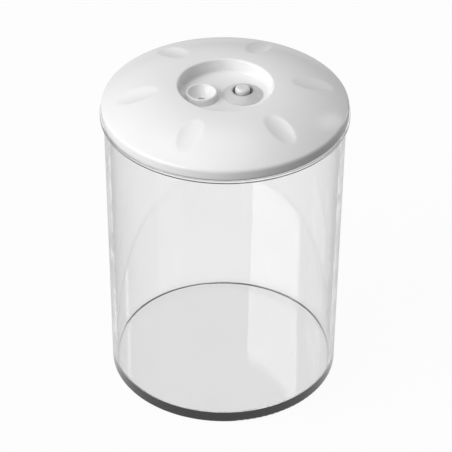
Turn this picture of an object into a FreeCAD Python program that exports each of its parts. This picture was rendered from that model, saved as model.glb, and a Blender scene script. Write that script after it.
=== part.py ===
"""A round vacuum food canister: a clear jar, and a domed two-shell lid that holds a suction port with a
check valve and a sprung release button. Millimetres, +Z up, origin at the centre of the jar's underside."""

import FreeCAD, Part
import math
import os
import re

import Sketcher

# Driving dimensions, piece by piece. Each row is an alias and its value.
SIZES = [
    # The clear jar.
    ("jar_base_radius", 60.0),
    ("jar_flare", 2.0),
    ("jar_height", 157.0),
    ("jar_wall", 2.6),
    ("jar_floor", 5.0),
    ("jar_corner_round", 1.2),
    ("jar_inner_round", 1.4),
    ("jar_rim_round", 0.4),
    ("rim_flange_reach", 1.9),
    ("rim_flange_height", 1.7),
    ("rim_flange_round", 0.2),
    # The lid's outer shell: skirt, band, dome and the sunk well with its controls.
    ("skirt_clearance", 0.4),
    ("skirt_wall", 0.8),
    ("skirt_overlap", 0.4),
    ("skirt_gap", 0.2),
    ("skirt_edge_round", 0.3),
    ("band_height", 5.0),
    ("band_edge_round", 2.2),
    ("dome_rise", 10.5),
    ("cover_wall", 2.6),
    ("shoulder_width", 3.0),
    ("well_depth", 6.8),
    ("well_lean", 0.8),
    ("well_rim_round", 1.0),
    ("well_corner_round", 1.5),
    ("well_port_gap", 2.5),
    ("well_controls_gap", 2.0),
    ("well_collar_gap", 3.9),
    # The leaf-shaped finger scoops in the dome.
    ("leaf_count", 6),
    ("leaf_well_gap", 9.8),
    ("leaf_band_gap", 7.0),
    ("leaf_half_width", 6.4),
    ("leaf_valley", 0.15),
    ("leaf_overrun", 1.0),
    # The rim gasket between the lid and the jar.
    ("gasket_thickness", 1.6),
    ("gasket_inset", 0.3),
    ("gasket_lip_wall", 1.3),
    ("gasket_lip_length", 2.5),
    ("gasket_lip_bevel", 0.6),
    ("gasket_clearance", 0.4),
    ("gasket_fit", 0.05),
    # The lid's inner shell: flange, plate, spigot and valve pan.
    ("flange_thickness", 1.4),
    ("flange_clearance", 0.3),
    ("base_wall", 2.0),
    ("spigot_depth", 2.7),
    ("pan_gap", 0.8),
    ("pan_depth", 7.6),
    ("socket_wall", 1.6),
    ("socket_height", 8.0),
    ("spring_ring_wall", 1.2),
    ("spring_ring_height", 2.0),
    ("spring_ring_clearance", 0.4),
    ("vent_radius", 2.1),
    ("stem_hole_clearance", 0.3),
    ("suction_hole_count", 6),
    ("suction_hole_radius", 0.7),
    ("suction_hole_place", 2.6),
    # The suction port that a pump hose plugs into.
    ("port_height", 3.4),
    ("port_rim_radius", 8.15),
    ("port_foot_radius", 8.6),
    ("port_lip", 1.4),
    ("port_bowl_depth", 4.9),
    ("port_bowl_radius", 11.0),
    ("port_bore", 2.2),
    ("port_tube_radius", 7.0),
    ("port_clearance", 0.2),
    ("groove_depth", 1.4),
    ("groove_height", 1.8),
    ("groove_below_socket_top", 2.4),
    ("o_ring_section", 0.75),
    ("o_ring_fit", 0.05),
    # The silicone check valve under the port.
    ("valve_disc_radius", 4.0),
    ("valve_disc_edge", 0.5),
    ("valve_disc_thickness", 1.0),
    ("valve_lift", 0.8),
    ("valve_room", 0.7),
    ("valve_play", 0.2),
    ("valve_stem_radius", 1.0),
    ("valve_barb_radius", 1.6),
    ("valve_barb_height", 0.8),
    ("valve_tip_radius", 0.6),
    ("valve_tip_length", 1.0),
    # The release button, its collar, spring, stem and seal.
    ("collar_radius", 10.4),
    ("collar_edge", 0.3),
    ("collar_height", 2.6),
    ("collar_rim", 0.8),
    ("collar_bow_radius", 22.0),
    ("collar_bore", 5.3),
    ("collar_neck_wall", 1.2),
    ("collar_neck_reach", 1.0),
    ("button_radius", 3.8),
    ("button_proud", 2.1),
    ("button_round", 1.4),
    ("button_flange_radius", 4.6),
    ("button_flange_thickness", 1.2),
    ("button_socket_depth", 5.0),
    ("stem_radius", 1.5),
    ("stem_end_gap", 0.2),
    ("stem_flange_radius", 4.2),
    ("stem_flange_thickness", 1.2),
    ("seal_radius", 4.0),
    ("seal_thickness", 1.0),
    ("seal_fit", 0.05),
    ("spring_length", 9.7),
    ("spring_mean_radius", 3.2),
    ("spring_wire_radius", 0.3),
    ("spring_turns", 6),
]

# Sizes and places that follow from the driving dimensions, in the words of the table above.
DERIVED = {
    "jar_top_radius": "jar_base_radius + jar_flare",
    "mouth_radius": "jar_top_radius - jar_wall",
    "skirt_inner": "jar_top_radius + skirt_clearance",
    "skirt_bottom": "jar_height - skirt_overlap",
    "rim_flange_radius": "jar_top_radius + rim_flange_reach",
    "rim_flange_top": "skirt_bottom - skirt_gap",
    "rim_flange_bottom": "rim_flange_top - rim_flange_height",
    "band_radius": "skirt_inner + skirt_wall",
    "band_top": "skirt_bottom + band_height",
    "cover_top": "band_top + dome_rise",
    "dome_run": "band_radius - well_radius",
    "dome_radius": "(dome_run ^ 2 + dome_rise ^ 2) / (2 * dome_rise)",
    "dome_centre": "cover_top - dome_radius",
    "dome_inner_radius": "dome_radius - cover_wall",
    "well_gaps": "well_port_gap + well_controls_gap + well_collar_gap",
    "well_floor_radius": "port_foot_radius + collar_radius + well_gaps / 2",
    "well_radius": "well_floor_radius + well_lean",
    "well_floor": "cover_top - well_depth",
    "port_offset": "well_floor_radius - well_port_gap - port_foot_radius",
    "button_offset": "well_floor_radius - well_collar_gap - collar_radius",
    "leaf_half_length": "(dome_run - leaf_well_gap - leaf_band_gap) / 2",
    "leaf_place": "well_radius + leaf_well_gap + leaf_half_length",
    "leaf_slope": "asin((leaf_place - well_radius) / dome_radius)",
    "leaf_drop": "dome_radius - sqrt(dome_radius ^ 2 - leaf_half_length ^ 2)",
    "leaf_depth": "leaf_drop + leaf_valley",
    "leaf_roll": "(leaf_half_width ^ 2 + leaf_depth ^ 2) / (2 * leaf_depth)",
    "leaf_bow": "(leaf_half_length ^ 2 + leaf_valley ^ 2) / (2 * leaf_valley)",
    "leaf_axis_radius": "dome_radius + leaf_roll - leaf_depth",
    "leaf_end": "leaf_half_length + leaf_overrun",
    "floor_underside": "well_floor - cover_wall",
    "flange_underside": "jar_height + gasket_thickness",
    "seat_height": "flange_underside + flange_thickness",
    "shoulder_radius": "skirt_inner - shoulder_width",
    "flange_radius": "skirt_inner - flange_clearance",
    "lip_outer": "mouth_radius - gasket_clearance",
    "spigot_outer": "lip_outer - gasket_lip_wall - gasket_fit",
    "pan_radius": "port_offset + socket_radius + socket_wall + pan_gap",
    "pan_top": "seat_height - pan_depth",
    "pan_bottom": "pan_top - base_wall",
    "socket_radius": "port_tube_radius + port_clearance",
    "socket_top": "pan_top + socket_height",
    "spring_ring_inner": "spring_mean_radius + spring_wire_radius + spring_ring_clearance",
    "valve_hole_radius": "valve_stem_radius + stem_hole_clearance",
    "port_top": "well_floor + port_height",
    "tube_bottom": "pan_top + valve_disc_thickness + valve_lift + valve_room",
    "groove_top": "socket_top - groove_below_socket_top",
    "groove_bottom": "groove_top - groove_height",
    "groove_radius": "port_tube_radius - groove_depth",
    "collar_top": "well_floor + collar_height",
    "neck_radius": "collar_bore + collar_neck_wall",
    "neck_bottom": "floor_underside - collar_neck_reach",
    "button_top": "collar_top + button_proud",
    "button_bottom": "pan_top + spring_length",
    "button_socket_top": "button_bottom + button_socket_depth",
    "seal_bottom": "pan_bottom - seal_thickness",
    "stem_bottom": "seal_bottom - stem_flange_thickness",
    "barb_top": "pan_bottom - valve_lift - valve_play",
}

SHEET = "Sizes"
WORD = re.compile(r"[a-z][a-z_]*[a-z]")
FULL_TURN_DEG = 360.0
MATCH = 1e-3

doc = FreeCAD.newDocument("vacuum_canister")


def make_sheet():
    sheet = doc.addObject("Spreadsheet::Sheet", SHEET)
    for row, (alias, number) in enumerate(SIZES, 1):
        sheet.set(f"A{row}", alias)
        sheet.set(f"B{row}", str(number))
        sheet.setAlias(f"B{row}", alias)
    doc.recompute()
    return sheet


sheet = make_sheet()
ALIASES = {alias for alias, _ in SIZES}


def formula(text):
    """The expression that a size written in words stands for, with every word tied to its cell."""

    def cell(match):
        word = match.group(0)
        if word in DERIVED:
            return f"({formula(DERIVED[word])})"
        return f"{SHEET}.{word}" if word in ALIASES else word

    return WORD.sub(cell, text)


def number(text):
    return float(sheet.evalExpression(formula(text)))


def plane_of(body, role):
    return next(o for o in body.Origin.OriginFeatures if o.Role == role)


def make_body(label):
    body = doc.addObject("PartDesign::Body", label)
    body.Label = label
    return body


def make_sketch(body, name, role, across="0", up="0", out="0"):
    """A sketch on one of the body's origin planes, moved along its own axes."""
    sketch = body.newObject("Sketcher::SketchObject", name)
    sketch.AttachmentSupport = (plane_of(body, role), [""])
    sketch.MapMode = "FlatFace"
    for axis, text in (("x", across), ("y", up), ("z", out)):
        if text != "0":
            sketch.setExpression(f"AttachmentOffset.Base.{axis}", formula(text))
    return sketch


def bind(sketch, constraint, text):
    index = sketch.addConstraint(constraint)
    sketch.setExpression(f"Constraints[{index}]", formula(text))


def pin_point(sketch, geometry, end, across, up):
    """Ties a point of the sketch to two sizes, counted from the sketch's origin, which is point 1 of its
    level axis, -1. The upright axis is -2."""
    for text, kind, axis in ((across, "DistanceX", -2), (up, "DistanceY", -1)):
        if text == "0":
            sketch.addConstraint(Sketcher.Constraint("PointOnObject", geometry, end, axis))
        else:
            bind(sketch, Sketcher.Constraint(kind, -1, 1, geometry, end, number(text)), text)


def add_arc(sketch, start, end, radius, turn):
    """An arc under a half circle between two points; turn is 1 to the left and -1 to the right."""
    chord = end - start
    side = FreeCAD.Vector(-chord.y, chord.x, 0).normalize() * turn
    height = math.sqrt(max(radius**2 - (chord.Length / 2) ** 2, 0))
    centre = (start + end) / 2 + side * height
    first, last = (start, end) if turn > 0 else (end, start)
    angles = [math.atan2(p.y - centre.y, p.x - centre.x) for p in (first, last)]
    circle = Part.Circle(centre, FreeCAD.Vector(0, 0, 1), radius)
    return sketch.addGeometry(Part.ArcOfCircle(circle, *angles), False)


def add_outline(sketch, points):
    """A closed outline. A point is its two sizes, and an arc's radius and turn where one leads to it."""
    places = [FreeCAD.Vector(number(p[0]), number(p[1]), 0) for p in points]
    edges = []
    for i, place in enumerate(places):
        j = (i + 1) % len(points)
        if len(points[j]) > 2:
            radius, turn = points[j][2:]
            edge = add_arc(sketch, place, places[j], number(radius), turn)
            bind(sketch, Sketcher.Constraint("Radius", edge, number(radius)), radius)
            edges.append((edge, 1, 2) if turn > 0 else (edge, 2, 1))
        else:
            edges.append((sketch.addGeometry(Part.LineSegment(place, places[j]), False), 1, 2))
    for i, (edge, head, tail) in enumerate(edges):
        after, after_head, _ = edges[(i + 1) % len(edges)]
        sketch.addConstraint(Sketcher.Constraint("Coincident", edge, tail, after, after_head))
        pin_point(sketch, edge, head, *points[i][:2])


def add_circle(sketch, across, up, radius):
    centre = FreeCAD.Vector(number(across), number(up), 0)
    circle = Part.Circle(centre, FreeCAD.Vector(0, 0, 1), number(radius))
    edge = sketch.addGeometry(circle, False)
    bind(sketch, Sketcher.Constraint("Radius", edge, number(radius)), radius)
    pin_point(sketch, edge, 3, across, up)


def revolve(body, points):
    """Turns an outline of radii and heights about the body's upright axis."""
    sketch = make_sketch(body, f"{body.Label}_outline", "XZ_Plane")
    add_outline(sketch, points)
    turned = body.newObject("PartDesign::Revolution", f"{body.Label}_turned")
    turned.Profile = sketch
    turned.ReferenceAxis = (sketch, ["V_Axis"])
    turned.Angle = FULL_TURN_DEG
    doc.recompute()
    return turned


def turned_piece(label, points, offset=None):
    """A piece that is a solid of revolution, moved along X by a named offset."""
    body = make_body(label)
    revolve(body, points)
    if offset:
        body.setExpression("Placement.Base.x", formula(offset))
    return body


def add_ring_wall(body, name, across, inner, wall, height):
    """An upright ring on the floor of the valve pan."""
    sketch = make_sketch(body, f"{name}_rings", "XY_Plane", out="pan_top")
    add_circle(sketch, across, "0", inner)
    add_circle(sketch, across, "0", f"{inner} + {wall}")
    pad = body.newObject("PartDesign::Pad", name)
    pad.Profile = sketch
    pad.setExpression("Length", formula(height))
    doc.recompute()


def drill(body, name, holes):
    """Round holes through the whole body, each a place and a radius."""
    sketch = make_sketch(body, f"{name}_circles", "XY_Plane")
    for across, up, radius in holes:
        add_circle(sketch, across, up, radius)
    pocket = body.newObject("PartDesign::Pocket", name)
    pocket.Profile = sketch
    pocket.Type = "ThroughAll"
    pocket.Midplane = True
    before = body.Shape.Volume
    doc.recompute()
    if not body.Shape.Volume < before:
        raise RuntimeError(f"{name} cut nothing")


def round_ring(body, name, radius, height, fillet):
    """Rounds the circular edge of that radius and height about the upright axis."""
    feature = body.Tip
    edges = [
        f"Edge{i}"
        for i, edge in enumerate(feature.Shape.Edges, 1)
        if isinstance(edge.Curve, Part.Circle)
        and abs(edge.Curve.Radius - number(radius)) < MATCH
        and abs(edge.Curve.Center.z - number(height)) < MATCH
    ]
    rounded = body.newObject("PartDesign::Fillet", name)
    rounded.Base = (feature, edges)
    rounded.setExpression("Radius", formula(fillet))
    doc.recompute()


def make_jar():
    """A thick-floored jar that widens upwards, with a narrow flange round its mouth under the lid's skirt."""
    rim_in = "mouth_radius + jar_rim_round"
    return turned_piece(
        "jar",
        [
            ("0", "0"),
            ("jar_base_radius - jar_corner_round", "0"),
            ("jar_base_radius", "jar_corner_round", "jar_corner_round", 1),
            ("jar_top_radius", "rim_flange_bottom"),
            ("rim_flange_radius - rim_flange_round", "rim_flange_bottom"),
            ("rim_flange_radius", "rim_flange_bottom + rim_flange_round", "rim_flange_round", 1),
            ("rim_flange_radius", "rim_flange_top - rim_flange_round"),
            ("rim_flange_radius - rim_flange_round", "rim_flange_top", "rim_flange_round", 1),
            ("jar_top_radius", "rim_flange_top"),
            ("jar_top_radius", "jar_height - jar_rim_round"),
            ("jar_top_radius - jar_rim_round", "jar_height", "jar_rim_round", 1),
            (rim_in, "jar_height"),
            ("mouth_radius", "jar_height - jar_rim_round", "jar_rim_round", 1),
            ("jar_base_radius - jar_wall", "jar_floor + jar_inner_round"),
            ("jar_base_radius - jar_wall - jar_inner_round", "jar_floor", "jar_inner_round", -1),
            ("0", "jar_floor"),
        ],
    )


def dome_height(radius, place):
    """Height of a dome surface of that radius at a distance from the upright axis."""
    return f"dome_centre + sqrt(({radius}) ^ 2 - ({place} - well_radius) ^ 2)"


def cut_leaves(body):
    """Leaf-shaped scoops: a barrel turned about an axis that runs out along the dome, above it."""
    sketch = make_sketch(
        body,
        "leaf_barrel",
        "XZ_Plane",
        across="well_radius + leaf_axis_radius * sin(leaf_slope)",
        up="dome_centre + leaf_axis_radius * cos(leaf_slope)",
    )
    lean = FreeCAD.Rotation(FreeCAD.Vector(0, 0, -1), number("leaf_slope"))
    sketch.AttachmentOffset = FreeCAD.Placement(sketch.AttachmentOffset.Base, lean)
    sketch.setExpression("AttachmentOffset.Rotation.Angle", formula("leaf_slope"))
    end_radius = "leaf_roll - leaf_bow + sqrt(leaf_bow ^ 2 - leaf_end ^ 2)"
    add_outline(
        sketch,
        [
            ("-leaf_end", "0"),
            ("-leaf_end", f"-({end_radius})"),
            ("leaf_end", f"-({end_radius})", "leaf_bow", 1),
            ("leaf_end", "0"),
        ],
    )
    groove = body.newObject("PartDesign::Groove", "leaf")
    groove.Profile = sketch
    groove.ReferenceAxis = (sketch, ["H_Axis"])
    groove.Angle = FULL_TURN_DEG
    before = body.Shape.Volume
    doc.recompute()
    if not body.Shape.Volume < before:
        raise RuntimeError("the leaf cut nothing")
    pattern = body.newObject("PartDesign::PolarPattern", "leaves")
    pattern.Originals = [groove]
    pattern.Axis = (plane_of(body, "Z_Axis"), [""])
    pattern.Angle = FULL_TURN_DEG
    pattern.setExpression("Occurrences", formula("leaf_count"))
    body.Tip = pattern
    doc.recompute()


def make_lid_cover():
    body = make_body("lid_cover")
    inner_edge = "well_radius + cover_wall"
    revolve(
        body,
        [
            ("0", "well_floor"),
            ("0", "floor_underside"),
            ("well_floor_radius + cover_wall", "floor_underside"),
            (inner_edge, dome_height("dome_inner_radius", inner_edge)),
            ("shoulder_radius", dome_height("dome_inner_radius", "shoulder_radius"), "dome_inner_radius", -1),
            ("shoulder_radius", "seat_height"),
            ("skirt_inner", "seat_height"),
            ("skirt_inner", "skirt_bottom"),
            ("band_radius - skirt_edge_round", "skirt_bottom"),
            ("band_radius", "skirt_bottom + skirt_edge_round", "skirt_edge_round", 1),
            ("band_radius", "band_top"),
            ("well_radius", "cover_top", "dome_radius", 1),
            ("well_floor_radius", "well_floor"),
        ],
    )
    round_ring(body, "band_edge", "band_radius", "band_top", "band_edge_round")
    round_ring(body, "well_rim", "well_radius", "cover_top", "well_rim_round")
    round_ring(body, "well_corner", "well_floor_radius", "well_floor", "well_corner_round")
    cut_leaves(body)
    drill(
        body,
        "control_holes",
        [
            ("-port_offset", "0", "socket_radius"),
            ("button_offset", "0", "neck_radius + port_clearance"),
        ],
    )
    return body


def make_lid_base():
    body = make_body("lid_base")
    plate_bottom = "seat_height - base_wall"
    spigot_bottom = "jar_height - spigot_depth"
    revolve(
        body,
        [
            ("0", "pan_top"),
            ("0", "pan_bottom"),
            ("pan_radius + base_wall", "pan_bottom"),
            ("pan_radius + base_wall", plate_bottom),
            ("spigot_outer - base_wall", plate_bottom),
            ("spigot_outer - base_wall", spigot_bottom),
            ("spigot_outer", spigot_bottom),
            ("spigot_outer", "flange_underside"),
            ("flange_radius", "flange_underside"),
            ("flange_radius", "seat_height"),
            ("pan_radius", "seat_height"),
            ("pan_radius", "pan_top"),
        ],
    )
    add_ring_wall(body, "port_socket", "-port_offset", "socket_radius", "socket_wall", "socket_height")
    add_ring_wall(
        body, "spring_ring", "button_offset", "spring_ring_inner", "spring_ring_wall", "spring_ring_height"
    )
    holes = [
        ("button_offset", "0", "vent_radius"),
        ("-port_offset", "0", "valve_hole_radius"),
    ]
    count = int(number("suction_hole_count"))
    for i in range(count):
        turn = FULL_TURN_DEG * (i + 0.5) / count
        holes.append(
            (
                f"suction_hole_place * cos({turn}) - port_offset",
                f"suction_hole_place * sin({turn})",
                "suction_hole_radius",
            )
        )
    drill(body, "valve_holes", holes)
    return body


def make_rim_gasket():
    """A silicone ring of L section: one leg on the jar's rim, the other down inside its mouth."""
    inner = "spigot_outer + gasket_fit"
    lip_bottom = "jar_height - gasket_lip_length"
    return turned_piece(
        "rim_gasket",
        [
            (inner, lip_bottom),
            ("lip_outer - gasket_lip_bevel", lip_bottom),
            ("lip_outer", f"{lip_bottom} + gasket_lip_bevel"),
            ("lip_outer", "jar_height"),
            ("jar_top_radius - gasket_inset", "jar_height"),
            ("jar_top_radius - gasket_inset", "flange_underside"),
            (inner, "flange_underside"),
        ],
    )


def make_suction_port():
    """A bowl on the well's floor, over a tube that plugs into the lid base with an O-ring."""
    lip_round = "port_lip / 2"
    return turned_piece(
        "suction_port",
        [
            ("port_bore", "tube_bottom"),
            ("port_tube_radius", "tube_bottom"),
            ("port_tube_radius", "groove_bottom"),
            ("groove_radius", "groove_bottom"),
            ("groove_radius", "groove_top"),
            ("port_tube_radius", "groove_top"),
            ("port_tube_radius", "well_floor"),
            ("port_foot_radius", "well_floor"),
            ("port_rim_radius", f"port_top - {lip_round}"),
            (f"port_rim_radius - {lip_round}", "port_top", lip_round, 1),
            ("port_rim_radius - port_lip", f"port_top - {lip_round}", lip_round, 1),
            ("port_bore", "port_top - port_bowl_depth", "port_bowl_radius", -1),
        ],
        "-port_offset",
    )


def make_port_o_ring():
    ring = doc.addObject("Part::Torus", "port_o_ring")
    ring.Label = "port_o_ring"
    ring.setExpression("Radius1", formula("groove_radius + o_ring_fit + o_ring_section"))
    ring.setExpression("Radius2", formula("o_ring_section"))
    ring.setExpression("Placement.Base.x", formula("-port_offset"))
    ring.setExpression("Placement.Base.z", formula("(groove_bottom + groove_top) / 2"))
    return ring


def make_check_valve():
    """A silicone mushroom: a crowned disc over the suction holes, on a stem with a barb below the pan."""
    crown = "(valve_disc_thickness - valve_disc_edge)"
    crown_radius = f"(valve_disc_radius ^ 2 + {crown} ^ 2) / (2 * {crown})"
    return turned_piece(
        "check_valve",
        [
            ("0", "barb_top - valve_barb_height - valve_tip_length"),
            ("valve_tip_radius", "barb_top - valve_barb_height - valve_tip_length"),
            ("valve_barb_radius", "barb_top - valve_barb_height"),
            ("valve_barb_radius", "barb_top"),
            ("valve_stem_radius", "barb_top"),
            ("valve_stem_radius", "pan_top"),
            ("valve_disc_radius", "pan_top"),
            ("valve_disc_radius", "pan_top + valve_disc_edge"),
            ("0", "pan_top + valve_disc_thickness", crown_radius, 1),
        ],
        "-port_offset",
    )


def make_button_collar():
    """A low bowed cone on the well's floor, with a neck through it that the button travels in."""
    return turned_piece(
        "button_collar",
        [
            ("collar_bore", "neck_bottom"),
            ("neck_radius", "neck_bottom"),
            ("neck_radius", "well_floor"),
            ("collar_radius", "well_floor"),
            ("collar_radius", "well_floor + collar_edge"),
            ("collar_bore + collar_rim", "collar_top", "collar_bow_radius", 1),
            ("collar_bore", "collar_top"),
        ],
        "button_offset",
    )


def make_release_button():
    return turned_piece(
        "release_button",
        [
            ("stem_radius", "button_bottom"),
            ("button_flange_radius", "button_bottom"),
            ("button_flange_radius", "button_bottom + button_flange_thickness"),
            ("button_radius", "button_bottom + button_flange_thickness"),
            ("button_radius", "button_top - button_round"),
            ("button_radius - button_round", "button_top", "button_round", 1),
            ("0", "button_top"),
            ("0", "button_socket_top"),
            ("stem_radius", "button_socket_top"),
        ],
        "button_offset",
    )


def make_valve_stem():
    return turned_piece(
        "valve_stem",
        [
            ("0", "stem_bottom"),
            ("stem_flange_radius", "stem_bottom"),
            ("stem_flange_radius", "seal_bottom"),
            ("stem_radius", "seal_bottom"),
            ("stem_radius", "button_socket_top - stem_end_gap"),
            ("0", "button_socket_top - stem_end_gap"),
        ],
        "button_offset",
    )


def make_valve_seal():
    return turned_piece(
        "valve_seal",
        [
            ("stem_radius + seal_fit", "seal_bottom"),
            ("seal_radius", "seal_bottom"),
            ("seal_radius", "pan_bottom"),
            ("stem_radius + seal_fit", "pan_bottom"),
        ],
        "button_offset",
    )


def biarc(start, start_way, end, end_way):
    """Two arcs that meet smoothly, from one point and direction to another."""
    gap, ways = end - start, start_way + end_way
    square = 2 * (1 - start_way.dot(end_way))
    along = gap.dot(ways)
    leg = (-along + math.sqrt(along**2 + square * gap.dot(gap))) / square
    corners = (start + start_way * leg, end - end_way * leg)
    joint = (corners[0] + corners[1]) / 2
    arcs = []
    for first, corner, last in ((start, corners[0], joint), (joint, corners[1], end)):
        chord_middle = (first + last) / 2
        cosine = (last - first).Length / 2 / leg
        crown = chord_middle + (corner - chord_middle) * (cosine / (1 + cosine))
        arcs.append(Part.Arc(first, crown, last).toShape())
    return arcs


def make_return_spring():
    """A coil of round wire between the pan's floor and the button's flange."""
    wire, radius = number("spring_wire_radius"), number("spring_mean_radius")
    turns = number("spring_turns")
    low, high = number("pan_top") + wire, number("button_bottom") - wire
    climb = (high - low) / turns / (2 * math.pi)
    steps = int(turns * 2)

    def place(angle):
        return FreeCAD.Vector(radius * math.cos(angle), radius * math.sin(angle), low + climb * angle)

    def way(angle):
        return FreeCAD.Vector(-radius * math.sin(angle), radius * math.cos(angle), climb).normalize()

    angles = [math.pi * i for i in range(steps + 1)]
    edges = []
    for a, b in zip(angles, angles[1:]):
        edges += biarc(place(a), way(a), place(b), way(b))
    path = Part.Wire(edges)
    section = Part.Wire(Part.Circle(place(0), way(0), wire).toShape())
    shape = path.makePipeShell([section], True, False)
    print(f"spring gap to itself {2 * math.pi * climb - 2 * wire:.2f} mm")
    spring = doc.addObject("Part::Feature", "return_spring")
    spring.Label = "return_spring"
    spring.Shape = shape
    spring.Placement = FreeCAD.Placement(
        FreeCAD.Vector(number("button_offset"), 0, 0), FreeCAD.Rotation()
    )
    return spring


def check_and_write(pieces):
    doc.recompute()
    failed = [o.Label for o in doc.Objects if {"Invalid", "Error"} & set(o.State)]
    if failed:
        raise RuntimeError(f"these objects failed: {failed}")
    for piece in pieces:
        if piece.Shape.isNull() or not piece.Shape.isValid():
            raise RuntimeError(f"{piece.Label} has no valid shape")
    os.makedirs("parts", exist_ok=True)
    for piece in pieces:
        piece.Shape.exportStep(f"parts/{piece.Label}.step")
        print(f"{piece.Label}: {len(piece.Shape.Solids)} solid, {piece.Shape.Volume:.1f} mm3")


check_and_write(
    [
        make_jar(),
        make_lid_cover(),
        make_lid_base(),
        make_rim_gasket(),
        make_suction_port(),
        make_port_o_ring(),
        make_check_valve(),
        make_button_collar(),
        make_release_button(),
        make_valve_stem(),
        make_valve_seal(),
        make_return_spring(),
    ]
)
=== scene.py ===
import math

import bmesh
import bpy
from mathutils import Matrix, Vector


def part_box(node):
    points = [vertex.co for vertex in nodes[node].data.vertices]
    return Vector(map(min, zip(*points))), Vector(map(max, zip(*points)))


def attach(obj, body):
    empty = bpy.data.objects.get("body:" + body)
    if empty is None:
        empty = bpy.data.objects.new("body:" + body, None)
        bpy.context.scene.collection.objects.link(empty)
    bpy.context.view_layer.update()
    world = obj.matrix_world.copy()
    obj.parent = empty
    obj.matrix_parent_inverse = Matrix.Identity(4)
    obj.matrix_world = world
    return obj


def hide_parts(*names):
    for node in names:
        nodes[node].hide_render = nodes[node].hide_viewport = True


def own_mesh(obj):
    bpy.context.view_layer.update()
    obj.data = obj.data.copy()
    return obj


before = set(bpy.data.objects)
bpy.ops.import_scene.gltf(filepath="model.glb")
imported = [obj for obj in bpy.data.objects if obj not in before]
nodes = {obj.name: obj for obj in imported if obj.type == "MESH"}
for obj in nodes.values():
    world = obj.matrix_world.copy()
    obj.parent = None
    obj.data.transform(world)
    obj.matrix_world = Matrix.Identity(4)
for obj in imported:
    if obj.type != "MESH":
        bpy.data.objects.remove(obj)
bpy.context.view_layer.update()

MM = 0.001

# The camera: its frame in pixels, its angles in degrees and its place in metres.
IMAGE_PX = 452
FOCAL_PX = 2600
SHIFT_PX = (1.68, 1.6)
SENSOR_MM = 36
CAMERA_AZIMUTH = -7.5
CAMERA_ELEVATION = 35.56
CAMERA_ROLL = 0.4
CAMERA_DISTANCE = 1.368
CAMERA_TARGET = Vector((0, 0, 0.083))
CAMERA_NEAR = 0.05
CAMERA_FAR = 50

# The surroundings: the light that the sky gives, and how bright sky and floor look straight and mirrored.
SKY_FILL = 0.23
SKY_SEEN = 1.0
SKY_MIRRORED = 0.3
FLOOR_SEEN = 1.06
FLOOR_MIRRORED = 0.7
FLOOR_GLOW_SHARE = 0.9
FLOOR_GREY = 0.3
FLOOR_ROUGHNESS = 0.9
FLOOR_HALF_SIDE = 6.0
FLOOR_HEIGHT = -0.0004

# The soft boxes round the object, in metres and watts. The window's faces its patch on the dome's right side.
LID_MIDDLE = (0, 0, 0.16)
WINDOW_PATCH = (0.05, -0.03, 0.165)
SOFT_BOXES = {
    "left": {"place": (-1.4, -0.56, 1.02), "target": LID_MIDDLE, "size": (1.7, 1.6), "power": 33.6},
    "top": {"place": (-0.1, 0.35, 1.7), "target": LID_MIDDLE, "size": (1.0, 1.0), "power": 6.2},
    "back_right": {"place": (1.15, 0.77, 0.38), "target": LID_MIDDLE, "size": (0.4, 0.4), "power": 1.8},
    "window": {"place": (0.958, 0.812, 1.012), "target": WINDOW_PATCH, "size": (0.2, 0.36), "power": 0.8},
}


def node_tree(name):
    material = bpy.data.materials.new(name)
    material.use_nodes = True
    tree = material.node_tree
    return material, tree, tree.nodes["Principled BSDF"]


def noise(tree, scale, detail=3.0):
    """Noise in the object's own coordinates, in features per metre."""
    place = tree.nodes.new("ShaderNodeTexCoord")
    texture = tree.nodes.new("ShaderNodeTexNoise")
    texture.inputs["Scale"].default_value = scale
    texture.inputs["Detail"].default_value = detail
    tree.links.new(place.outputs["Object"], texture.inputs["Vector"])
    return texture.outputs["Fac"]


def ramp(tree, factor, low, high, target, middle=(0.35, 0.65)):
    """Colours between two values, spread over the middle of the noise."""
    colours = tree.nodes.new("ShaderNodeValToRGB")
    for element, place, colour in zip(colours.color_ramp.elements, middle, (low, high)):
        element.position = place
        element.color = (*colour, 1)
    tree.links.new(factor, colours.inputs["Fac"])
    tree.links.new(colours.outputs["Color"], target)


def spread(tree, factor, low, high, target, middle=(0.3, 0.7)):
    """Numbers between two values, spread over the middle of the noise."""
    span = tree.nodes.new("ShaderNodeMapRange")
    span.inputs["From Min"].default_value, span.inputs["From Max"].default_value = middle
    span.inputs["To Min"].default_value = low
    span.inputs["To Max"].default_value = high
    tree.links.new(factor, span.inputs["Value"])
    tree.links.new(span.outputs["Result"], target)


def bump(tree, shader, factor, strength, distance):
    relief = tree.nodes.new("ShaderNodeBump")
    relief.inputs["Strength"].default_value = strength
    relief.inputs["Distance"].default_value = distance
    tree.links.new(factor, relief.inputs["Height"])
    tree.links.new(relief.outputs["Normal"], shader.inputs["Normal"])


def grey(value):
    return (value, value, value)


def moulded(name, low, high, rough, grain, strength, shine=0.5):
    """A moulded plastic: faint clouding of its colour, uneven polish and a fine skin."""
    material, tree, shader = node_tree(name)
    clouding, polish = noise(tree, scale=35), noise(tree, scale=140)
    ramp(tree, clouding, low, high, shader.inputs["Base Color"])
    spread(tree, polish, *rough, shader.inputs["Roughness"])
    bump(tree, shader, noise(tree, scale=grain, detail=2.0), strength, distance=0.0002)
    shader.inputs["IOR"].default_value = 1.5
    shader.inputs["Specular IOR Level"].default_value = shine
    return material


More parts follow.
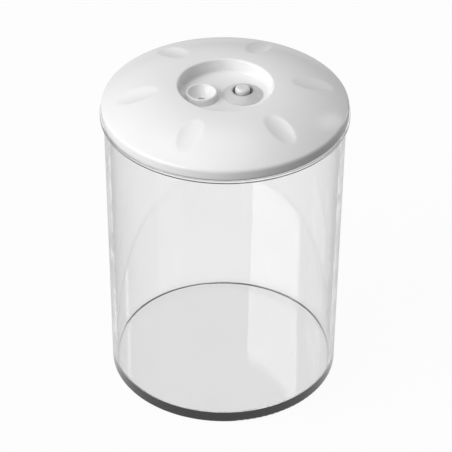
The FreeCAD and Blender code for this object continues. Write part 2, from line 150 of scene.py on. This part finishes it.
def clear_plastic(name):
    """A clear moulded plastic with a polished skin and faint waves left by the mould."""
    material, tree, shader = node_tree(name)
    clouding, polish = noise(tree, scale=20), noise(tree, scale=60)
    ramp(tree, clouding, grey(0.985), grey(1), shader.inputs["Base Color"])
    spread(tree, polish, 0.0, 0.02, shader.inputs["Roughness"])
    bump(tree, shader, noise(tree, scale=45, detail=1.0), strength=0.05, distance=0.0004)
    shader.inputs["Transmission Weight"].default_value = 1.0
    shader.inputs["IOR"].default_value = 1.57
    shader.inputs["Coat Weight"].default_value = 1.0
    shader.inputs["Coat Roughness"].default_value = 0.0
    body = tree.nodes.new("ShaderNodeVolumeAbsorption")
    body.inputs["Color"].default_value = (*grey(0.02), 1)
    body.inputs["Density"].default_value = 6.0
    tree.links.new(body.outputs["Volume"], tree.nodes["Material Output"].inputs["Volume"])
    return material


def silicone(name, low, high):
    """A rubber that lets a little light into its skin."""
    material, tree, shader = node_tree(name)
    clouding, polish = noise(tree, scale=90), noise(tree, scale=300)
    ramp(tree, clouding, low, high, shader.inputs["Base Color"])
    spread(tree, polish, 0.42, 0.58, shader.inputs["Roughness"])
    bump(tree, shader, noise(tree, scale=2600, detail=2.0), strength=0.08, distance=0.0001)
    shader.inputs["Subsurface Weight"].default_value = 0.25
    shader.inputs["Subsurface Radius"].default_value = grey(0.002)
    return material


def spring_wire(name):
    """Drawn steel wire, with fine scratches."""
    material, tree, shader = node_tree(name)
    clouding, scratches = noise(tree, scale=700), noise(tree, scale=3000)
    ramp(tree, clouding, (0.5, 0.5, 0.51), (0.68, 0.68, 0.69), shader.inputs["Base Color"])
    spread(tree, scratches, 0.22, 0.4, shader.inputs["Roughness"])
    shader.inputs["Metallic"].default_value = 1.0
    return material


white_gloss = moulded(
    "white_gloss", grey(0.812), grey(0.826), rough=(0.18, 0.2), grain=1500, strength=0.02, shine=0.3
)
white_satin = moulded("white_satin", grey(0.785), grey(0.82), rough=(0.4, 0.5), grain=2500, strength=0.12)
collar_grey = moulded("collar_grey", grey(0.55), grey(0.58), rough=(0.28, 0.36), grain=2000, strength=0.06)
button_white = moulded("button_white", grey(0.71), grey(0.75), rough=(0.26, 0.36), grain=2000, strength=0.06)
stem_white = moulded(
    "stem_white", (0.74, 0.745, 0.73), (0.79, 0.79, 0.78), rough=(0.42, 0.55), grain=2600, strength=0.12
)
milky = silicone("milky_silicone", (0.62, 0.64, 0.64), (0.7, 0.72, 0.72))
dark_seal = silicone("dark_seal", (0.012, 0.012, 0.013), grey(0.024))
clear = clear_plastic("clear_plastic")
steel = spring_wire("spring_wire")

NODE_MATERIALS = {
    "jar": clear,
    "lid_cover": white_gloss,
    "lid_base": white_satin,
    "rim_gasket": milky,
    "suction_port": white_gloss,
    "port_o_ring": dark_seal,
    "check_valve": milky,
    "button_collar": collar_grey,
    "release_button": button_white,
    "valve_stem": stem_white,
    "valve_seal": dark_seal,
    "return_spring": steel,
}
for name, material in NODE_MATERIALS.items():
    mesh = nodes[name].data
    mesh.materials.clear()
    mesh.materials.append(material)


def add_piece(name, mesh, material):
    """Puts a smooth-shaded mesh into the scene."""
    for polygon in mesh.polygons:
        polygon.use_smooth = True
    mesh.materials.append(material)
    piece = bpy.data.objects.new(name, mesh)
    bpy.context.scene.collection.objects.link(piece)
    return piece


# The coil under the button: its wire's radius in metres, its turns and the fineness of its mesh.
SPRING_WIRE = 0.0003
SPRING_TURNS = 6
SPRING_TURN_STEPS = 48
SPRING_WIRE_SIDES = 14


def coil_ring(middle, out, up):
    """Points round the wire, about a place on its centre line."""
    angles = [2 * math.pi * s / SPRING_WIRE_SIDES for s in range(SPRING_WIRE_SIDES)]
    return [middle + (out * math.cos(a) + up * math.sin(a)) * SPRING_WIRE for a in angles]


def make_spring():
    """The coil under the button, as a smooth tube that goes with the lid."""
    low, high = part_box("return_spring")
    radius = (high.x - low.x) / 2 - SPRING_WIRE
    axis_x = (low.x + high.x) / 2
    climb = (high.z - low.z - 2 * SPRING_WIRE) / SPRING_TURNS
    ring_count = SPRING_TURNS * SPRING_TURN_STEPS + 1
    sides = SPRING_WIRE_SIDES
    points = []
    for i in range(ring_count):
        turns = i / SPRING_TURN_STEPS
        angle = 2 * math.pi * turns
        out = Vector((math.cos(angle), math.sin(angle), 0))
        way = Vector((-out.y * radius, out.x * radius, climb / (2 * math.pi))).normalized()
        middle = Vector((axis_x, 0, low.z + SPRING_WIRE + climb * turns)) + out * radius
        points += coil_ring(middle, out, way.cross(out))
    faces = [
        (i * sides + s, i * sides + (s + 1) % sides, (i + 1) * sides + (s + 1) % sides, (i + 1) * sides + s)
        for i in range(ring_count - 1)
        for s in range(sides)
    ]
    faces.append(tuple(range(sides))[::-1])
    faces.append(tuple(range((ring_count - 1) * sides, ring_count * sides)))
    mesh = bpy.data.meshes.new("return_coil")
    mesh.from_pydata(points, [], faces)
    mesh.validate()
    coil = add_piece("return_coil", mesh, steel)
    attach(coil, "lid")
    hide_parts("return_spring")
    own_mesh(coil)


make_spring()


# The lid cover's outline in millimetres, as in the part's solids. Each control hole is a place along X and
# a radius.
WELL_FLOOR = 165.3
WELL_UNDERSIDE = 162.7
WELL_FLOOR_RADIUS = 23.3
WELL_RADIUS = 24.1
WELL_CORNER_ROUND = 1.5
WELL_RIM_ROUND = 1.0
COVER_TOP = 172.1
COVER_WALL = 2.6
BAND_RADIUS = 63.2
BAND_TOP = 161.6
BAND_EDGE_ROUND = 2.2
SKIRT_INNER = 62.4
SKIRT_BOTTOM = 156.6
SKIRT_EDGE_ROUND = 0.3
SEAT_HEIGHT = 160.0
SHOULDER_RADIUS = 59.4
CONTROL_HOLES = ((-12.1, 7.2), (9.0, 6.7))
DOME_RUN = BAND_RADIUS - WELL_RADIUS
DOME_RISE = COVER_TOP - BAND_TOP
DOME_RADIUS = (DOME_RUN**2 + DOME_RISE**2) / (2 * DOME_RISE)
DOME_CENTRE = COVER_TOP - DOME_RADIUS

# The leaf-shaped scoops in the dome, the softness of their edges, and the share of a leaf's half length and
# half width past which the dome is plain.
LEAF_COUNT = 6
LEAF_PLACE = 45.05
LEAF_HALF_LENGTH = 11.15
LEAF_HALF_WIDTH = 6.4
LEAF_VALLEY = 0.15
LEAF_SOFTNESS = 0.15
LEAF_REACH_SHARE = 1.5
LEAF_SLOPE = math.asin((LEAF_PLACE - WELL_RADIUS) / DOME_RADIUS)
LEAF_DEPTH = DOME_RADIUS - math.sqrt(DOME_RADIUS**2 - LEAF_HALF_LENGTH**2) + LEAF_VALLEY
LEAF_ROLL = (LEAF_HALF_WIDTH**2 + LEAF_DEPTH**2) / (2 * LEAF_DEPTH)
LEAF_BOW = (LEAF_HALF_LENGTH**2 + LEAF_VALLEY**2) / (2 * LEAF_VALLEY)

# The fineness of the cover's mesh: steps round it and its holes, and along the stretches of its outline.
SHELL_STEPS = 480
HOLE_STEPS = 96
CORNER_STEPS = 6
RIM_STEPS = 10
DOME_STEPS = 72
EDGE_STEPS = 14
FOOT_STEPS = 5
CEILING_STEPS = 24
RIM_SEARCH_PASSES = 40
SHARP_ANGLE = 32


def arc(centre, radius, start, end, steps):
    """Points on an arc of radii and heights, its ends included, with the angles in radians."""
    turns = (start + (end - start) * i / steps for i in range(steps + 1))
    return [(centre[0] + radius * math.cos(t), centre[1] + radius * math.sin(t)) for t in turns]


def angle_on_dome(point):
    """The angle of a point of the section as seen from the dome's centre."""
    return math.atan2(point[1] - DOME_CENTRE, point[0] - WELL_RADIUS)


def dome_arc(radius, start, end, steps):
    """Points on a dome surface of that radius, between two angles."""
    return arc((WELL_RADIUS, DOME_CENTRE), radius, start, end, steps)


def well_rim_centre(lean):
    """Centre of the round between the well's leaning wall and the dome."""
    centre_radius = DOME_RADIUS - WELL_RIM_ROUND
    rim_r, rim_z = WELL_RADIUS, COVER_TOP
    for _ in range(RIM_SEARCH_PASSES):
        rim_z = DOME_CENTRE + math.sqrt(centre_radius**2 - (rim_r - WELL_RADIUS) ** 2)
        wall_r = WELL_RADIUS + (rim_z - COVER_TOP) * math.tan(lean)
        rim_r = wall_r + WELL_RIM_ROUND / math.cos(lean)
    return rim_r, rim_z


def band_edge_centre():
    """Centre of the round between the dome and the band."""
    edge_r = BAND_RADIUS - BAND_EDGE_ROUND
    edge_z = DOME_CENTRE + math.sqrt((DOME_RADIUS - BAND_EDGE_ROUND) ** 2 - (edge_r - WELL_RADIUS) ** 2)
    return edge_r, edge_z


def shell_outline():
    """The lid cover's section in three stretches: the well, the dome, and the skirt with the underside."""
    lean = math.atan2(WELL_RADIUS - WELL_FLOOR_RADIUS, COVER_TOP - WELL_FLOOR)
    corner_reach = WELL_CORNER_ROUND * math.tan((math.pi / 2 - lean) / 2)
    corner = (WELL_FLOOR_RADIUS - corner_reach, WELL_FLOOR + WELL_CORNER_ROUND)
    rim = well_rim_centre(lean)
    edge = band_edge_centre()
    foot = (BAND_RADIUS - SKIRT_EDGE_ROUND, SKIRT_BOTTOM + SKIRT_EDGE_ROUND)
    dome_start, dome_end = angle_on_dome(rim), angle_on_dome(edge)
    ceiling_radius = DOME_RADIUS - COVER_WALL
    ceiling_start = math.acos((SHOULDER_RADIUS - WELL_RADIUS) / ceiling_radius)
    ceiling_end = math.acos(COVER_WALL / ceiling_radius)
    well = arc(corner, WELL_CORNER_ROUND, -math.pi / 2, -lean, CORNER_STEPS)
    well += arc(rim, WELL_RIM_ROUND, math.pi - lean, dome_start, RIM_STEPS)
    dome = dome_arc(DOME_RADIUS, dome_start, dome_end, DOME_STEPS)[1:-1]
    skirt = arc(edge, BAND_EDGE_ROUND, dome_end, 0, EDGE_STEPS)
    skirt += [(BAND_RADIUS, (edge[1] + SKIRT_BOTTOM) / 2)]
    skirt += arc(foot, SKIRT_EDGE_ROUND, 0, -math.pi / 2, FOOT_STEPS)
    skirt += [(SKIRT_INNER, SKIRT_BOTTOM), (SKIRT_INNER, SEAT_HEIGHT), (SHOULDER_RADIUS, SEAT_HEIGHT)]
    skirt += dome_arc(ceiling_radius, ceiling_start, ceiling_end, CEILING_STEPS)
    skirt += [(WELL_FLOOR_RADIUS + COVER_WALL, WELL_UNDERSIDE)]
    return well, dome, skirt


def leaf_cut(along, across, dome_drop):
    """How far a leaf's scoop lies under the dome, eased at its edge, for a place beside the leaf's middle."""
    if abs(along) > LEAF_HALF_LENGTH * LEAF_REACH_SHARE or abs(across) > LEAF_HALF_WIDTH * LEAF_REACH_SHARE:
        return 0.0
    roll = LEAF_ROLL - LEAF_BOW + math.sqrt(LEAF_BOW**2 - along**2)
    scoop = LEAF_ROLL - LEAF_DEPTH - math.sqrt(roll**2 - across**2)
    sunk = dome_drop - scoop
    return max(sunk, 0.0) + max(LEAF_SOFTNESS - abs(sunk), 0.0) ** 2 / (4 * LEAF_SOFTNESS)


def with_leaves(point, turn):
    """Moves a point of the dome's section, at a turn about the upright axis, down into the nearest leaf."""
    spacing = 2 * math.pi / LEAF_COUNT
    off = (turn + spacing / 2) % spacing - spacing / 2
    radius, height = point
    across = radius * math.sin(off)
    out = radius * math.cos(off) - (WELL_RADIUS + DOME_RADIUS * math.sin(LEAF_SLOPE))
    up = height - (DOME_CENTRE + DOME_RADIUS * math.cos(LEAF_SLOPE))
    along = out * math.cos(LEAF_SLOPE) - up * math.sin(LEAF_SLOPE)
    drop = out * math.sin(LEAF_SLOPE) + up * math.cos(LEAF_SLOPE)
    cut = leaf_cut(along, across, drop)
    slope = math.pi / 2 - angle_on_dome(point)
    return radius - cut * math.sin(slope), height - cut * math.cos(slope)


def ring_of(build, point, steps, centre_x=0.0, shape=None):
    """Vertices round an upright axis, from a radius and a height in millimetres."""
    ring = []
    for i in range(steps):
        turn = 2 * math.pi * i / steps
        radius, height = shape(point, turn) if shape else point
        place = (centre_x + radius * math.cos(turn), radius * math.sin(turn), height)
        ring.append(build.verts.new([along_axis * MM for along_axis in place]))
    return ring


def bridge(build, first, second):
    """A band of faces between two rings."""
    for i in range(len(first)):
        j = (i + 1) % len(first)
        build.faces.new((first[i], second[i], second[j], first[j]))


def fill(build, ring, holes):
    """A flat sheet inside a ring, with round holes in it."""
    edges = []
    for loop in (ring, *holes):
        for ends in zip(loop, loop[1:] + loop[:1]):
            edges.append(build.edges.get(ends) or build.edges.new(ends))
    bmesh.ops.triangle_fill(build, use_beauty=True, use_dissolve=False, edges=edges)


def make_lid_shell():
    """The lid cover as one smooth skin: dome with soft leaf scoops, band, skirt and well with its holes."""
    well, dome, skirt = shell_outline()
    build = bmesh.new()
    rings = [ring_of(build, point, SHELL_STEPS) for point in well]
    rings += [ring_of(build, point, SHELL_STEPS, shape=with_leaves) for point in dome]
    rings += [ring_of(build, point, SHELL_STEPS) for point in skirt]
    for inner, outer in zip(rings, rings[1:]):
        bridge(build, inner, outer)
    upper_holes, lower_holes = (
        [ring_of(build, (radius, height), HOLE_STEPS, centre_x=place) for place, radius in CONTROL_HOLES]
        for height in (WELL_FLOOR, WELL_UNDERSIDE)
    )
    for upper, lower in zip(upper_holes, lower_holes):
        bridge(build, upper, lower)
    fill(build, rings[0], upper_holes)
    fill(build, rings[-1], lower_holes)
    bmesh.ops.recalc_face_normals(build, faces=build.faces)
    mesh = bpy.data.meshes.new("lid_shell")
    build.to_mesh(mesh)
    build.free()
    shell = add_piece("lid_shell", mesh, white_gloss)
    mesh.set_sharp_from_angle(angle=math.radians(SHARP_ANGLE))
    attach(shell, "lid")
    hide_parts("lid_cover")


make_lid_shell()


def maths(tree, operation, first, second):
    """A sum on two values, each a node's output or a plain number."""
    node = tree.nodes.new("ShaderNodeMath")
    node.operation = operation
    for socket, value in zip(node.inputs, (first, second)):
        if isinstance(value, float):
            socket.default_value = value
        else:
            tree.links.new(value, socket)
    return node.outputs[0]


def none_yet(tree, depth):
    """1 for a ray that has made no bounce of a kind, and otherwise 0. Depths are whole numbers."""
    return maths(tree, "LESS_THAN", depth, 0.5)


def seen_directly(tree, straight, mirrored):
    """A strength for rays that come straight or through glass and one for mirrored rays. After a matt bounce
    it is 0."""
    path = tree.nodes.new("ShaderNodeLightPath")
    first = maths(tree, "MAXIMUM", path.outputs["Is Camera Ray"], path.outputs["Is Glossy Ray"])
    seen = maths(tree, "MAXIMUM", first, path.outputs["Is Transmission Ray"])
    clean = none_yet(tree, path.outputs["Diffuse Depth"])
    plain = none_yet(tree, path.outputs["Glossy Depth"])
    turned = maths(tree, "SUBTRACT", 1.0, plain)
    plain_part = maths(tree, "MULTIPLY", plain, straight)
    turned_part = maths(tree, "MULTIPLY", turned, mirrored)
    strength = maths(tree, "ADD", plain_part, turned_part)
    return maths(tree, "MULTIPLY", maths(tree, "MULTIPLY", seen, clean), strength)


def make_world():
    """A white sky that is seen at full strength and lights the object softly."""
    world = bpy.data.worlds.new("studio")
    bpy.context.scene.world = world
    world.use_nodes = True
    tree = world.node_tree
    sky = tree.nodes["Background"]
    sky.inputs["Color"].default_value = (*grey(1), 1)
    strength = maths(tree, "MAXIMUM", seen_directly(tree, SKY_SEEN, SKY_MIRRORED), SKY_FILL)
    tree.links.new(strength, sky.inputs["Strength"])


def make_floor():
    """A pale floor, white to the eye and through glass, and dim where it is mirrored."""
    mesh = bpy.data.meshes.new("floor")
    side, height = FLOOR_HALF_SIDE, FLOOR_HEIGHT
    corners = [(-side, -side, height), (side, -side, height), (side, side, height), (-side, side, height)]
    mesh.from_pydata(corners, [], [(0, 1, 2, 3)])
    floor = bpy.data.objects.new("floor", mesh)
    bpy.context.scene.collection.objects.link(floor)
    material, tree, shader = node_tree("pale_floor")
    shader.inputs["Base Color"].default_value = (*grey(FLOOR_GREY), 1)
    shader.inputs["Roughness"].default_value = FLOOR_ROUGHNESS
    shader.inputs["Specular IOR Level"].default_value = 0.0
    glow = tree.nodes.new("ShaderNodeEmission")
    tree.links.new(seen_directly(tree, FLOOR_SEEN, FLOOR_MIRRORED), glow.inputs["Strength"])
    path = tree.nodes.new("ShaderNodeLightPath")
    clean = none_yet(tree, path.outputs["Diffuse Depth"])
    mix = tree.nodes.new("ShaderNodeMixShader")
    tree.links.new(maths(tree, "MULTIPLY", clean, FLOOR_GLOW_SHARE), mix.inputs["Fac"])
    tree.links.new(shader.outputs["BSDF"], mix.inputs[1])
    tree.links.new(glow.outputs["Emission"], mix.inputs[2])
    tree.links.new(mix.outputs["Shader"], tree.nodes["Material Output"].inputs["Surface"])
    mesh.materials.append(material)


def make_soft_box(name, place, target, size, power):
    """A rectangular lamp that faces its target."""
    light = bpy.data.lights.new(name, "AREA")
    light.shape = "RECTANGLE"
    light.size, light.size_y = size
    light.energy = power
    box = bpy.data.objects.new(name, light)
    bpy.context.scene.collection.objects.link(box)
    box.location = place
    box.rotation_mode = "QUATERNION"
    box.rotation_quaternion = (Vector(target) - Vector(place)).to_track_quat("-Z", "Y")


def make_camera():
    """The camera, in front of the object and above it."""
    camera = bpy.data.cameras.new("camera")
    camera.sensor_width = SENSOR_MM
    camera.lens = FOCAL_PX / IMAGE_PX * SENSOR_MM
    camera.shift_x, camera.shift_y = (px / IMAGE_PX for px in SHIFT_PX)
    camera.clip_start, camera.clip_end = CAMERA_NEAR, CAMERA_FAR
    holder = bpy.data.objects.new("camera", camera)
    bpy.context.scene.collection.objects.link(holder)
    azimuth, elevation = math.radians(CAMERA_AZIMUTH), math.radians(CAMERA_ELEVATION)
    level = math.cos(elevation)
    back = Vector((math.sin(azimuth) * level, -math.cos(azimuth) * level, math.sin(elevation)))
    turn = (-back).to_track_quat("-Z", "Y").to_matrix().to_4x4()
    roll = Matrix.Rotation(math.radians(CAMERA_ROLL), 4, "Z")
    holder.matrix_world = Matrix.Translation(CAMERA_TARGET + back * CAMERA_DISTANCE) @ turn @ roll
    bpy.context.scene.camera = holder


make_world()
make_floor()
make_camera()
for name, box in SOFT_BOXES.items():
    make_soft_box(name, **box)

bpy.context.scene.view_settings.view_transform = "Standard"
